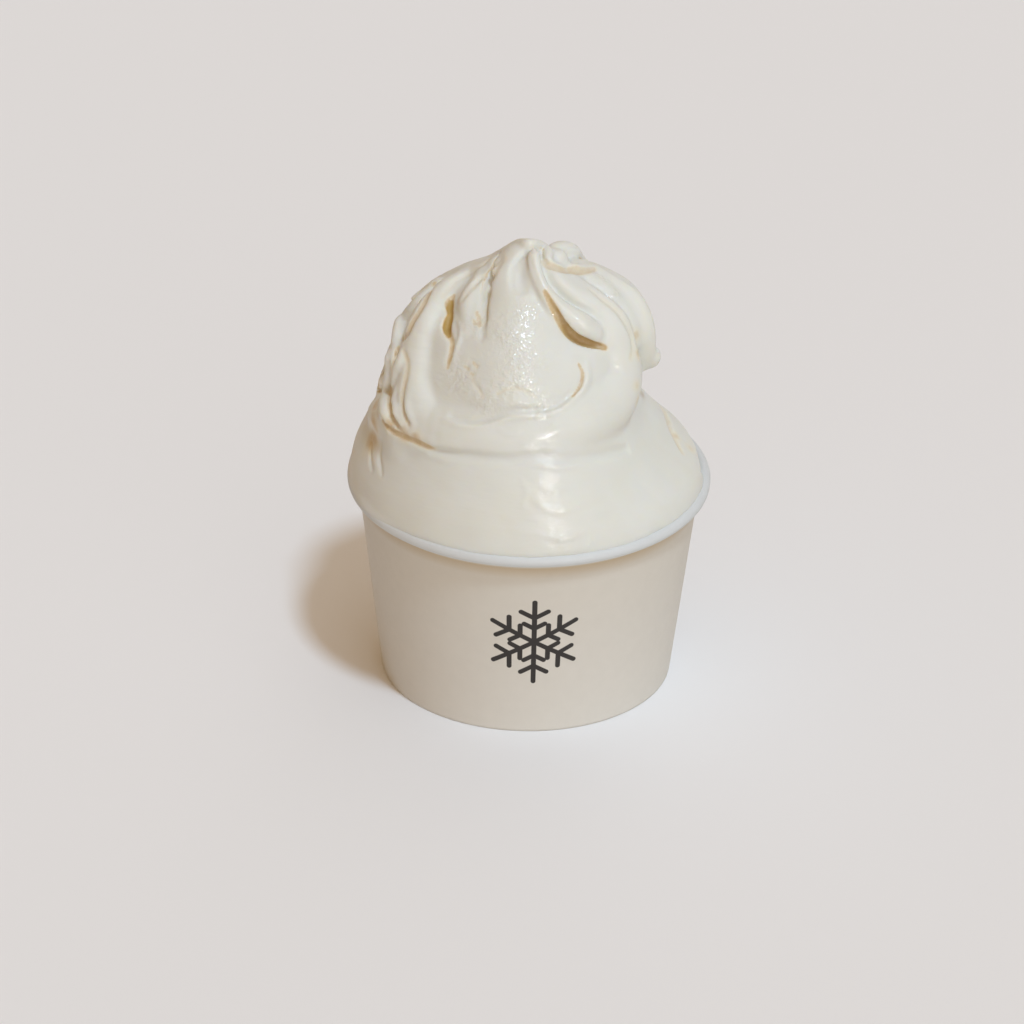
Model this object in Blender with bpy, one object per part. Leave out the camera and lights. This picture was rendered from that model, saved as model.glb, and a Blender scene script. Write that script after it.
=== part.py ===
"""A small paper cup heaped high with white gelato. Lengths are in millimetres until a mesh is made.

The cup stands on z = 0 round the Z axis, and the side that shows best faces -Y.
"""

import itertools
import math

import bpy
import numpy as np

MM = 0.001
GAP = 0.3

# Cup
RIM_RADIUS = 40.0
BASE_RADIUS = 32.0
CUP_HEIGHT = 48.0
BEAD_RADIUS = 1.4
PAPER = 0.5
DISC_HEIGHT = 6.0
HEM_SLOT = 1.1
HEM_HEIGHT = 5.0
BEAD_STEPS = 14
ROUND_STEPS = 64
MERGE_DISTANCE = 0.01

BEAD_MIDDLE = (RIM_RADIUS - BEAD_RADIUS, CUP_HEIGHT - BEAD_RADIUS)
WALL_TOP_RADIUS = BEAD_MIDDLE[0] - BEAD_RADIUS + PAPER

# Heap: how far the plain mound reaches from the axis on each side, by height above the rim
MOUND = (
    # height, left, right, front, back
    (-4, 38.6, 38.6, 38.6, 38.2),
    (0, 39.4, 38.6, 39.2, 38.0),
    (4, 38.9, 37.0, 38.4, 37.0),
    (8, 37.8, 34.2, 36.9, 35.4),
    (15, 35.0, 28.6, 33.6, 32.4),
    (20, 33.2, 25.2, 31.2, 30.6),
    (25, 31.6, 23.6, 28.8, 29.2),
    (30, 30.0, 23.4, 25.8, 27.8),
    (35, 28.0, 23.4, 22.8, 25.8),
    (40, 24.6, 21.8, 19.2, 22.8),
    (45, 17.4, 17.2, 14.4, 17.8),
    (50, 9.6, 10.6, 8.4, 11.2),
    (53, 5.2, 6.2, 4.6, 6.4),
    (56, 0.0, 0.0, 0.0, 0.0),
    (64, -8.0, -8.0, -8.0, -8.0),
)
MOUND_STEEPNESS = 0.8
MOUND_FOOT = 2.0

# The folds are laid on the mound along a viewer's line of sight, from this far above level
SIGHT_TILT = 29.0
SIGHT_REACH = 60.0
SIGHT_STEP = 0.05
STEPS_BETWEEN_POINTS = 6

FRONT, RIGHT, BACK, LEFT = 0, 90, 180, 270

# A fold: the side it is seen from, how softly it melts into what lies under it, and its points as
# (across, up) from the middle of the rim, the lift off the mound and the radius
FOLDS = {
    "scooped face": (FRONT, 3.0, (
        (-3.2, 18.7, -11.0, 12.8), (-2.3, 26.4, -11.0, 12.6), (-2.3, 34.1, -8.6, 10.0),
        (-2.9, 40.7, -6.0, 7.2), (-2.3, 45.8, -3.5, 4.2))),
    "low roll behind": (BACK, 2.0, (
        (24.0, 11.0, -7.0, 8.0), (12.0, 7.0, -8.0, 9.2), (0.0, 5.5, -8.2, 9.6), (-10.0, 8.0, -7.6, 8.8),
        (-16.0, 14.0, -6.0, 6.8), (-18.0, 20.0, -4.2, 4.8))),
    "back petal, left": (BACK, 1.0, (
        (24.0, 16.0, -5.2, 6.4), (20.0, 24.0, -4.8, 6.0), (14.0, 32.0, -3.8, 5.0),
        (8.0, 39.0, -2.6, 3.6), (2.0, 45.0, -1.2, 2.2))),
    "back petal, middle": (BACK, 1.0, (
        (10.0, 12.0, -6.6, 8.0), (6.0, 21.0, -5.6, 7.0), (1.0, 30.0, -4.4, 5.8),
        (-3.0, 38.0, -3.0, 4.2), (-5.0, 44.0, -1.6, 2.8))),
    "back petal, right": (BACK, 1.0, (
        (-6.0, 14.0, -6.0, 7.2), (-11.0, 21.0, -5.2, 6.4), (-13.0, 29.0, -4.2, 5.4),
        (-12.0, 37.0, -2.8, 3.8), (-9.0, 43.0, -1.6, 2.6))),
    "right flank": (RIGHT, 1.0, (
        (0.0, 12.0, -6.0, 6.8), (4.0, 19.0, -5.2, 6.0), (8.0, 26.0, -4.2, 5.2),
        (10.0, 34.0, -3.0, 4.2), (8.0, 41.0, -2.0, 3.0))),
    "left flank": (LEFT, 1.0, (
        (-20.0, 14.0, -5.6, 6.8), (-15.0, 22.0, -4.8, 6.0), (-10.0, 30.0, -3.8, 5.0),
        (-5.0, 38.0, -2.8, 3.8), (-2.0, 44.0, -1.6, 2.4))),
    "band round the left": (LEFT, 1.4, (
        (14.0, 1.0, -6.0, 7.2), (5.0, 2.2, -6.4, 7.4), (-5.0, 4.6, -6.2, 7.0), (-15.0, 8.8, -5.6, 6.2),
        (-23.0, 14.0, -4.6, 5.0))),
    "wrapping band": (FRONT, 0.7, (
        (-31.4, 12.2, -6.6, 4.4), (-28.0, 11.6, -5.8, 6.2), (-22.5, 10.2, -7.2, 8.2), (-12.9, 8.0, -8.2, 9.3),
        (-1.8, 8.2, -8.4, 9.5), (8.1, 10.8, -8.0, 9.2), (15.0, 15.2, -6.9, 8.2), (18.2, 20.6, -5.5, 6.8),
        (18.9, 26.4, -3.8, 5.3), (17.8, 31.7, -2.5, 4.5), (14.1, 36.1, -1.9, 3.8),
        (9.6, 40.1, -1.5, 3.1), (5.9, 43.6, -1.0, 2.1))),
    "broad left ridge": (FRONT, 1.0, (
        (-22.1, 12.7, -5.2, 6.8), (-23.4, 18.7, -4.7, 6.2), (-23.2, 26.4, -4.0, 5.5),
        (-21.7, 33.0, -3.3, 4.8), (-18.8, 37.9, -2.7, 4.1), (-14.6, 42.1, -2.1, 3.2),
        (-9.8, 45.8, -1.4, 2.3), (-5.4, 48.9, -0.8, 1.6))),
    "outer left ridge": (FRONT, 0.6, (
        (-31.2, 17.1, -1.5, 1.8), (-29.7, 22.4, -1.5, 2.1), (-28.1, 27.9, -1.4, 2.3),
        (-26.9, 32.6, -1.2, 2.2), (-24.4, 36.8, -1.2, 2.3), (-20.0, 40.3, -1.2, 2.2),
        (-15.1, 43.0, -1.1, 1.8), (-9.8, 46.2, -0.8, 1.4))),
    "inner left ridge": (FRONT, 0.8, (
        (-13.3, 29.8, -1.8, 2.2), (-12.9, 36.3, -1.6, 2.8), (-11.1, 40.5, -1.2, 2.5),
        (-8.5, 44.7, -0.8, 1.9), (-5.6, 47.8, -0.4, 1.5), (-2.7, 49.6, -0.2, 1.3))),
    "small fold, left": (FRONT, 0.5, (
        (-28.9, 25.9, -1.2, 1.2), (-28.6, 22.4, -0.9, 1.9), (-29.0, 18.7, -0.9, 1.6),
        (-29.4, 14.9, -0.9, 1.7), (-28.8, 10.5, -1.2, 1.6))),
    "small fold, far left": (FRONT, 0.5, (
        (-31.0, 20.2, -0.8, 1.2), (-31.8, 17.1, -0.8, 1.6), (-32.0, 14.0, -0.8, 1.7),
        (-31.2, 11.4, -1.0, 1.4))),
    "dollop": (FRONT, 0.6, (
        (6.6, 47.2, -3.0, 2.6), (8.8, 47.4, -3.5, 2.8), (11.0, 45.8, -4.0, 2.5),
        (13.6, 43.9, -4.0, 2.0))),
    "inner right layer": (FRONT, 0.8, (
        (12.5, 41.7, -1.6, 2.8), (16.5, 38.9, -1.2, 3.0), (19.8, 35.8, -0.9, 2.8),
        (21.8, 32.0, -0.9, 2.4), (22.4, 28.0, -1.0, 1.9))),
    "right drape": (RIGHT, 1.0, (
        (4.0, 36.5, -1.4, 3.2), (5.6, 30.0, -1.0, 4.2), (5.8, 24.0, -0.6, 4.6), (4.4, 18.5, 0.0, 4.0),
        (2.8, 14.0, 1.0, 2.8))),
    "outer right layer": (RIGHT, 1.4, (
        (3.0, 35.2, 1.8, 1.6), (2.0, 31.1, 2.2, 1.9), (0.6, 26.9, 2.6, 2.1), (-0.6, 22.9, 2.4, 2.2),
        (-1.2, 18.8, 2.2, 2.2), (-1.0, 15.2, 2.2, 2.1), (-0.4, 12.6, 2.4, 2.0), (0.6, 10.0, 3.2, 2.2))),
    "drip": (RIGHT, 0.8, ((0.6, 11.6, 0.4, 1.9), (0.6, 11.2, 3.4, 2.1))),
    "hook of the peak": (FRONT, 0.6, (
        (-5.1, 46.4, -0.4, 1.4), (-3.6, 47.9, 0.0, 1.6), (-1.2, 48.8, 0.3, 1.6), (1.5, 49.0, 0.5, 1.7),
        (3.7, 48.5, 0.6, 1.7), (4.6, 47.2, 0.8, 1.6), (4.3, 45.8, 0.6, 1.3))),
    "finger": (FRONT, 1.2, (
        (1.5, 48.2, 1.4, 1.2), (1.9, 45.8, 1.4, 1.4), (2.9, 42.9, 1.2, 1.8), (4.2, 40.1, 1.0, 2.4),
        (6.2, 37.4, 0.7, 3.2), (9.0, 35.0, 0.4, 3.9), (12.0, 33.0, 0.2, 4.0), (14.8, 30.8, -0.6, 3.4))),
}
GROOVES = {
    "under the finger": (FRONT, 0.8, (
        (2.8, 39.2, 0.4, 0.5), (4.2, 35.6, 0.4, 0.7), (6.6, 32.2, 0.4, 0.9), (9.3, 29.7, 0.4, 1.2),
        (12.6, 28.0, 0.2, 1.2), (16.3, 27.3, -0.2, 0.7))),
    "hole on the left": (FRONT, 0.5, (
        (-16.4, 38.1, -0.4, 0.9), (-16.9, 35.0, -0.8, 1.3), (-17.7, 31.7, -1.0, 1.5),
        (-16.9, 27.5, -0.6, 1.1), (-17.7, 23.3, 0.2, 0.9))),
    "hole on the left, deeper": (FRONT, 0.5, (
        (-16.9, 35.8, -2.6, 1.1), (-17.6, 31.7, -3.0, 1.4), (-17.0, 27.5, -2.6, 0.9))),
    "crease over the rim": (FRONT, 0.8, (
        (-31.0, 9.0, 1.0, 0.8), (-27.9, 7.8, 1.4, 0.9), (-23.9, 6.1, 1.4, 0.9), (-19.9, 4.1, 1.0, 0.6))),
    "end of the lip": (FRONT, 0.5, (
        (9.4, 16.6, 0.6, 0.5), (10.6, 18.6, 0.5, 0.8), (11.4, 20.6, 0.4, 0.9), (11.8, 22.6, 0.4, 0.8),
        (12.0, 24.4, 0.6, 0.5))),
    "beside the inner ridge": (FRONT, 1.2, (
        (-10.4, 29.5, 0.2, 0.8), (-10.0, 36.1, 0.6, 1.2), (-8.7, 40.9, 0.8, 1.5), (-7.0, 44.7, 0.9, 1.2),
        (-4.6, 47.6, 0.8, 0.7))),
    "beside the outer ridge": (FRONT, 0.6, (
        (-21.7, 40.4, 0.2, 0.6), (-23.0, 37.4, 0.4, 0.7), (-25.5, 33.4, 0.6, 0.8), (-27.4, 29.5, 0.6, 0.9),
        (-29.2, 25.3, 0.6, 0.8), (-30.1, 18.7, 0.5, 0.7), (-30.6, 14.9, 0.4, 0.7), (-29.9, 10.4, 0.4, 0.6))),
    "under the dollop": (FRONT, 0.5, (
        (3.7, 45.6, -1.0, 0.7), (7.4, 44.3, -1.2, 1.0), (11.4, 43.6, -1.6, 1.0), (14.1, 43.2, -2.0, 0.6))),
}

GELATO_VOXEL = 1.0
PINCH_FILL = -0.1
GELATO_SHARE_KEPT = 0.1


def curve_through(points):
    """Points on a smooth curve through the given ones, by the Catmull-Rom rule."""
    points = np.array(points, float)
    ends = np.vstack((2 * points[0] - points[1], points, 2 * points[-1] - points[-2]))
    along = []
    for a, b, c, d in zip(ends, ends[1:], ends[2:], ends[3:]):
        for t in np.arange(STEPS_BETWEEN_POINTS) / STEPS_BETWEEN_POINTS:
            along.append(0.5 * (2 * b + (c - a) * t + (2 * a - 5 * b + 4 * c - d) * t**2
                                + (3 * b - a - 3 * c + d) * t**3))
    return np.array(along + [points[-1]])


def mound_radius(x, y, height):
    """How far the plain mound reaches at this height, in the direction of (x, y)."""
    rows = curve_through(MOUND)
    left, right, front, back = (np.interp(height, rows[:, 0], rows[:, side]) for side in (1, 2, 3, 4))
    turn = np.arctan2(y, x)
    return (np.where(x < 0, left, right) * np.cos(turn)**2
            + np.where(y < 0, front, back) * np.sin(turn)**2)


def mound_distance(x, y, z):
    height = z - CUP_HEIGHT
    outward = (np.hypot(x, y) - mound_radius(x, y, height)) * MOUND_STEEPNESS
    return np.maximum(outward, -height - MOUND_FOOT)


def sight_axes(azimuth):
    """The viewer's right and up, and the direction from the heap to the eye."""
    turn, tilt = math.radians(azimuth), math.radians(SIGHT_TILT)
    right = np.array((math.cos(turn), math.sin(turn), 0))
    eye = np.array((math.sin(turn) * math.cos(tilt), -math.cos(turn) * math.cos(tilt), math.sin(tilt)))
    return right, np.cross(eye, right), eye


def laid_on_mound(azimuth, points):
    """The fold's smooth course: its points are dropped along the line of sight, then lifted off the mound."""
    right, up, eye = sight_axes(azimuth)
    depths = np.arange(SIGHT_REACH, -SIGHT_REACH, -SIGHT_STEP)[:, None]
    laid = []
    for across, rise, lift, radius in points:
        sight = np.array((0, 0, CUP_HEIGHT)) + across * right + rise * up + depths * eye
        distance = mound_distance(*sight.T)
        met = np.argmax(distance < 0) if (distance < 0).any() else np.argmin(distance)
        laid.append((*(sight[met] + lift * eye), radius))
    return curve_through(laid)


def rope_distance(points, x, y, z):
    """Distance to a rope through the points, whose last column is its radius there."""
    nearest = np.full(np.broadcast(x, y, z).shape, np.inf)
    for (ax, ay, az, ar), (bx, by, bz, br) in zip(points, points[1:]):
        dx, dy, dz = bx - ax, by - ay, bz - az
        length = max(dx * dx + dy * dy + dz * dz, 1e-9)
        t = np.clip(((x - ax) * dx + (y - ay) * dy + (z - az) * dz) / length, 0, 1)
        away = np.sqrt((x - ax - t * dx)**2 + (y - ay - t * dy)**2 + (z - az - t * dz)**2)
        nearest = np.minimum(nearest, away - ar - t * (br - ar))
    return nearest


def joined(a, b, melt):
    """The union of two shapes, with the corner between them filled over the melt distance."""
    share = np.clip(0.5 + 0.5 * (b - a) / melt, 0, 1)
    return b * (1 - share) + a * share - melt * share * (1 - share)


def change_near(field, grid, points, melt, change):
    """Applies the change to the field in the box round a rope."""
    reach = points[:, 3].max() + 2 * melt
    window = []
    for line, column in zip(grid, points.T):
        low, high = np.searchsorted(line, (column.min() - reach, column.max() + reach))
        window.append(slice(low, high))
    window = tuple(window)
    lines = [line[part] for line, part in zip(grid, window)]
    x, y, z = np.meshgrid(*lines, indexing="ij", sparse=True)
    field[window] = change(field[window], rope_distance(points, x, y, z), melt)


def cup_distance(across, z):
    """Distance outside the paper of the wall and its bead, in the plane through the axis."""
    bead = np.hypot(across - BEAD_MIDDLE[0], z - BEAD_MIDDLE[1]) - BEAD_RADIUS
    return np.where(z < BEAD_MIDDLE[1], np.minimum(bead, inner_radius(z) - across), bead)


def inner_radius(z):
    """The radius of the cup's inside at a height."""
    return BASE_RADIUS + (WALL_TOP_RADIUS - BASE_RADIUS) * z / BEAD_MIDDLE[1] - PAPER


def gelato_field(grid):
    """Below zero inside the gelato: the mound, its folds and grooves, and the filling of the cup."""
    x, y, z = np.meshgrid(*grid, indexing="ij", sparse=True)
    field = mound_distance(x, y, z)
    for azimuth, melt, points in FOLDS.values():
        change_near(field, grid, laid_on_mound(azimuth, points), melt, joined)
    for azimuth, melt, points in GROOVES.values():
        change_near(field, grid, laid_on_mound(azimuth, points), melt,
                    lambda a, b, melt: -joined(-a, b, melt))
    across = np.hypot(x, y)
    filling = np.maximum(across - inner_radius(z), z - CUP_HEIGHT)
    field = np.where(z < CUP_HEIGHT, filling, np.minimum(field, filling))
    field = np.maximum(field, GAP - cup_distance(across, z))
    return np.maximum(field, DISC_HEIGHT + PAPER + GAP - z)


def without_pinches(field):
    """Fills the grid points where the surface would touch itself along an edge."""
    while True:
        inside = field < 0
        pinched = np.zeros_like(inside)
        for axis in range(3):
            layers, marks = np.moveaxis(inside, axis, 0), np.moveaxis(pinched, axis, 0)
            corners = [(slice(None), a, b) for a, b in itertools.product((slice(None, -1), slice(1, None)),
                                                                         repeat=2)]
            first, second, third, fourth = (layers[corner] for corner in corners)
            crossed = (first == fourth) & (second == third) & (first != second)
            for corner in corners:
                marks[corner] |= crossed
        pinched &= ~inside
        if not pinched.any():
            return field
        field[pinched] = PINCH_FILL


def crossing_points(field, grid, cells):
    """One point in each cell, the mean of where the surface cuts the cell's edges."""
    total, hits = np.zeros((len(cells), 3)), np.zeros((len(cells), 1))
    for axis in range(3):
        step = np.eye(3, dtype=int)[axis]
        for corner in itertools.product((0, 1), repeat=3):
            if corner[axis]:
                continue
            near = cells + corner
            far = near + step
            a, b = field[tuple(near.T)], field[tuple(far.T)]
            cut = (a < 0) != (b < 0)
            t = np.where(cut, a / np.where(cut, a - b, 1), 0)
            start = np.stack([line[index] for line, index in zip(grid, near.T)], axis=1)
            start[:, axis] += t * (grid[axis][far[:, axis]] - start[:, axis])
            total += start * cut[:, None]
            hits += cut[:, None]
    return total / hits


def surface_of(field, grid):
    """The points and four-sided faces of the surface where the field passes zero."""
    inside = field < 0
    ends = [(slice(None, -1), slice(1, None))[bit] for bit in (0, 1)]
    filled = sum(inside[ends[i], ends[j], ends[k]].astype(int)
                 for i, j, k in itertools.product((0, 1), repeat=3))
    crossed = (filled > 0) & (filled < 8)
    cells = np.argwhere(crossed)
    number = np.zeros(crossed.shape, int)
    number[crossed] = np.arange(len(cells))
    faces = []
    for axis in range(3):
        step, side, other = np.roll(np.eye(3, dtype=int), -axis, axis=0)
        changes = np.diff(inside.astype(int), axis=axis)
        for turned_out, order in ((-1, 1), (1, -1)):
            at = np.argwhere(changes == turned_out)
            ring = (at - side - other, at - other, at, at - side)[::order]
            faces.append(np.stack([number[tuple(corner.T)] for corner in ring], axis=1))
    return crossing_points(field, grid, cells), np.vstack(faces)


def main_piece(points, faces):
    """The largest connected surface alone, without loose scraps and sealed bubbles."""
    piece = np.arange(len(points))
    while True:
        lowest = piece.copy()
        for corner, following in zip(faces.T, np.roll(faces, -1, axis=1).T):
            np.minimum.at(lowest, corner, piece[following])
            np.minimum.at(lowest, following, piece[corner])
        lowest = lowest[lowest]
        if (lowest == piece).all():
            break
        piece = lowest
    kept = piece == np.bincount(piece).argmax()
    renumbered = np.cumsum(kept) - 1
    return points[kept], renumbered[faces[kept[faces[:, 0]]]]


def paint(name, color, roughness):
    material = bpy.data.materials.new(name)
    material.use_nodes = True
    shader = material.node_tree.nodes["Principled BSDF"]
    shader.inputs["Base Color"].default_value = (*color, 1)
    shader.inputs["Roughness"].default_value = roughness
    return material


def add_object(name, points, edges, faces, material):
    mesh = bpy.data.meshes.new(name)
    mesh.from_pydata((np.array(points) * MM).tolist(), edges, np.array(faces).tolist())
    mesh.materials.append(material)
    mesh.shade_smooth()
    thing = bpy.data.objects.new(name, mesh)
    bpy.context.scene.collection.objects.link(thing)
    return thing


def turned(name, outline, material):
    """A body turned round the axis from (radius, height) points that run down its outer side."""
    points = [(radius, 0, height) for radius, height in outline]
    edges = [(end - 1, end) for end in range(1, len(points))]
    if outline[0][0] > 0:
        edges.append((len(points) - 1, 0))
    thing = add_object(name, points, edges, [], material)
    turn = thing.modifiers.new("turn", "SCREW")
    turn.steps = turn.render_steps = ROUND_STEPS
    turn.use_merge_vertices = True
    turn.merge_threshold = MERGE_DISTANCE * MM
    return thing


def wall_outline():
    """The paper wall in section: rolled bead, inside, and the bottom turned in and up as a hem."""
    slope = (WALL_TOP_RADIUS - BASE_RADIUS) / BEAD_MIDDLE[1]
    turns = [math.radians(180 - step * 314 / BEAD_STEPS) for step in range(BEAD_STEPS + 1)]
    bead = [(BEAD_MIDDLE[0] + BEAD_RADIUS * math.cos(turn), BEAD_MIDDLE[1] + BEAD_RADIUS * math.sin(turn))
            for turn in turns]
    slot_outer = BASE_RADIUS - PAPER
    slot_inner = slot_outer - HEM_SLOT
    hem = [(BASE_RADIUS, 0), (slot_inner - PAPER, 0), (slot_inner - PAPER, HEM_HEIGHT),
           (slot_inner, HEM_HEIGHT), (slot_inner, PAPER), (slot_outer + slope * PAPER, PAPER)]
    return bead + hem


def base_outline():
    """The bottom disc and its turned-down edge, which sits in the wall's hem."""
    edge = BASE_RADIUS - PAPER - GAP
    foot = PAPER + GAP
    return [(0, DISC_HEIGHT + PAPER), (edge, DISC_HEIGHT + PAPER), (edge, foot), (edge - PAPER, foot),
            (edge - PAPER, DISC_HEIGHT), (0, DISC_HEIGHT)]


def gelato_grid():
    reach = RIM_RADIUS + 3
    side = np.arange(-reach, reach, GELATO_VOXEL)
    return side, side, np.arange(DISC_HEIGHT - 1, CUP_HEIGHT + 62, GELATO_VOXEL)


def add_gelato():
    grid = gelato_grid()
    points, faces = main_piece(*surface_of(without_pinches(gelato_field(grid)), grid))
    gelato = add_object("gelato", points, [], faces, paint("gelato", (0.80, 0.78, 0.68), 0.35))
    fewer = gelato.modifiers.new("fewer faces", "DECIMATE")
    fewer.ratio = GELATO_SHARE_KEPT


def main():
    for thing in list(bpy.data.objects):
        bpy.data.objects.remove(thing)
    turned("cup_wall", wall_outline(), paint("paper", (0.62, 0.56, 0.44), 0.7))
    turned("cup_base", base_outline(), paint("paper base", (0.62, 0.56, 0.44), 0.7))
    add_gelato()


main()
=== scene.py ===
"""The looks of a small paper cup heaped with white gelato. Lengths are in millimetres until a mesh is made.

The heap is the same mound with the same folds as in the CAD source, on a finer grid and with finer folds.
"""

import itertools
import math

import bmesh
import bpy
import numpy as np
from mathutils import Matrix, Vector


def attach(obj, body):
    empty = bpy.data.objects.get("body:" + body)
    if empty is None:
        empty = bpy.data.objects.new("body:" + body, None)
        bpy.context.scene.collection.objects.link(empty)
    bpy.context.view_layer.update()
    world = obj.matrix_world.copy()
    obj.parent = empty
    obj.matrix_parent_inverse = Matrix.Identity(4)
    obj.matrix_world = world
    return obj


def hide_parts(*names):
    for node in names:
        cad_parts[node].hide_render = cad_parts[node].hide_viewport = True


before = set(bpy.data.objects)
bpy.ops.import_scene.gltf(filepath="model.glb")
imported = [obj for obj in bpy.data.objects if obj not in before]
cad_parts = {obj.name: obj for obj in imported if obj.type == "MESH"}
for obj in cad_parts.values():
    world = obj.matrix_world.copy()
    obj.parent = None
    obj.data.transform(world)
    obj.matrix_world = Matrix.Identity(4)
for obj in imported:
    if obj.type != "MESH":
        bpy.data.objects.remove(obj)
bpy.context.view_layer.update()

MM = 0.001

# Cup
RIM_RADIUS = 40.0
BASE_RADIUS = 32.0
CUP_HEIGHT = 48.0
BEAD_RADIUS = 1.4
PAPER = 0.5
HEM_SLOT = 1.1
HEM_HEIGHT = 5.0
GELATO_BOTTOM = 6.8
BEAD_MIDDLE = (RIM_RADIUS - BEAD_RADIUS, CUP_HEIGHT - BEAD_RADIUS)
WALL_TOP_RADIUS = BEAD_MIDDLE[0] - BEAD_RADIUS + PAPER
# Steps round the cup, heights of the wall's rings, and how far round the bead runs in degrees
WALL_STEPS = 360
WALL_HEIGHTS = (43.5, 41, 36, 30, 24, 18, 12, 6, 2, 0.7, 0.15)
FOOT_ROUNDING = 0.15
BEAD_STEPS = 20
BEAD_SWEEP = 322

# The wall's end laps over its start at the back: the turn of its edge, the edge's own width and the
# width over which the lap's thickness fades out, in radians, and that thickness in millimetres
SEAM_TURN = 1.9
SEAM_EDGE = 0.003
SEAM_WIDTH = 0.22
SEAM_STEP = 0.25
SEAM_SHARE_ON_BEAD = 0.4

# Heap: how far the plain mound reaches from the axis on each side, by height above the rim
MOUND = (
    # height, left, right, front, back
    (-4, 38.6, 38.6, 38.6, 38.2),
    (0, 39.4, 38.6, 39.2, 38),
    (4, 38.9, 37, 38.4, 37),
    (8, 37.5, 32.8, 36.9, 34.6),
    (15, 34.2, 26, 33.6, 30.8),
    (20, 32.2, 23.6, 31.2, 29.6),
    (25, 30.7, 22.4, 28.8, 28.4),
    (30, 28.7, 22.8, 25.8, 27),
    (35, 26.6, 22.8, 22.8, 24.4),
    (40, 23.4, 21.4, 19.2, 20),
    (45, 14.6, 16.4, 14.2, 13.8),
    (50, 6.4, 9.4, 8.2, 7.6),
    (53, 3.4, 5.2, 4.6, 4.2),
    (56, 0, 0, 0, 0),
    (64, -8, -8, -8, -8),
)
MOUND_STEEPNESS = 0.8
MOUND_FOOT = 2.0
# How far the mound leans to the left for each millimetre of height
MOUND_LEAN = 0.0145

# The folds are laid on the heap along a viewer's line of sight, which is tilted as the camera's is
SIGHT_TILT = 29.0
SIGHT_REACH = 60.0
SIGHT_STEP = 0.25
STEPS_BETWEEN_POINTS = 5

FRONT, RIGHT, BACK, LEFT = 0, 90, 180, 270

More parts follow.
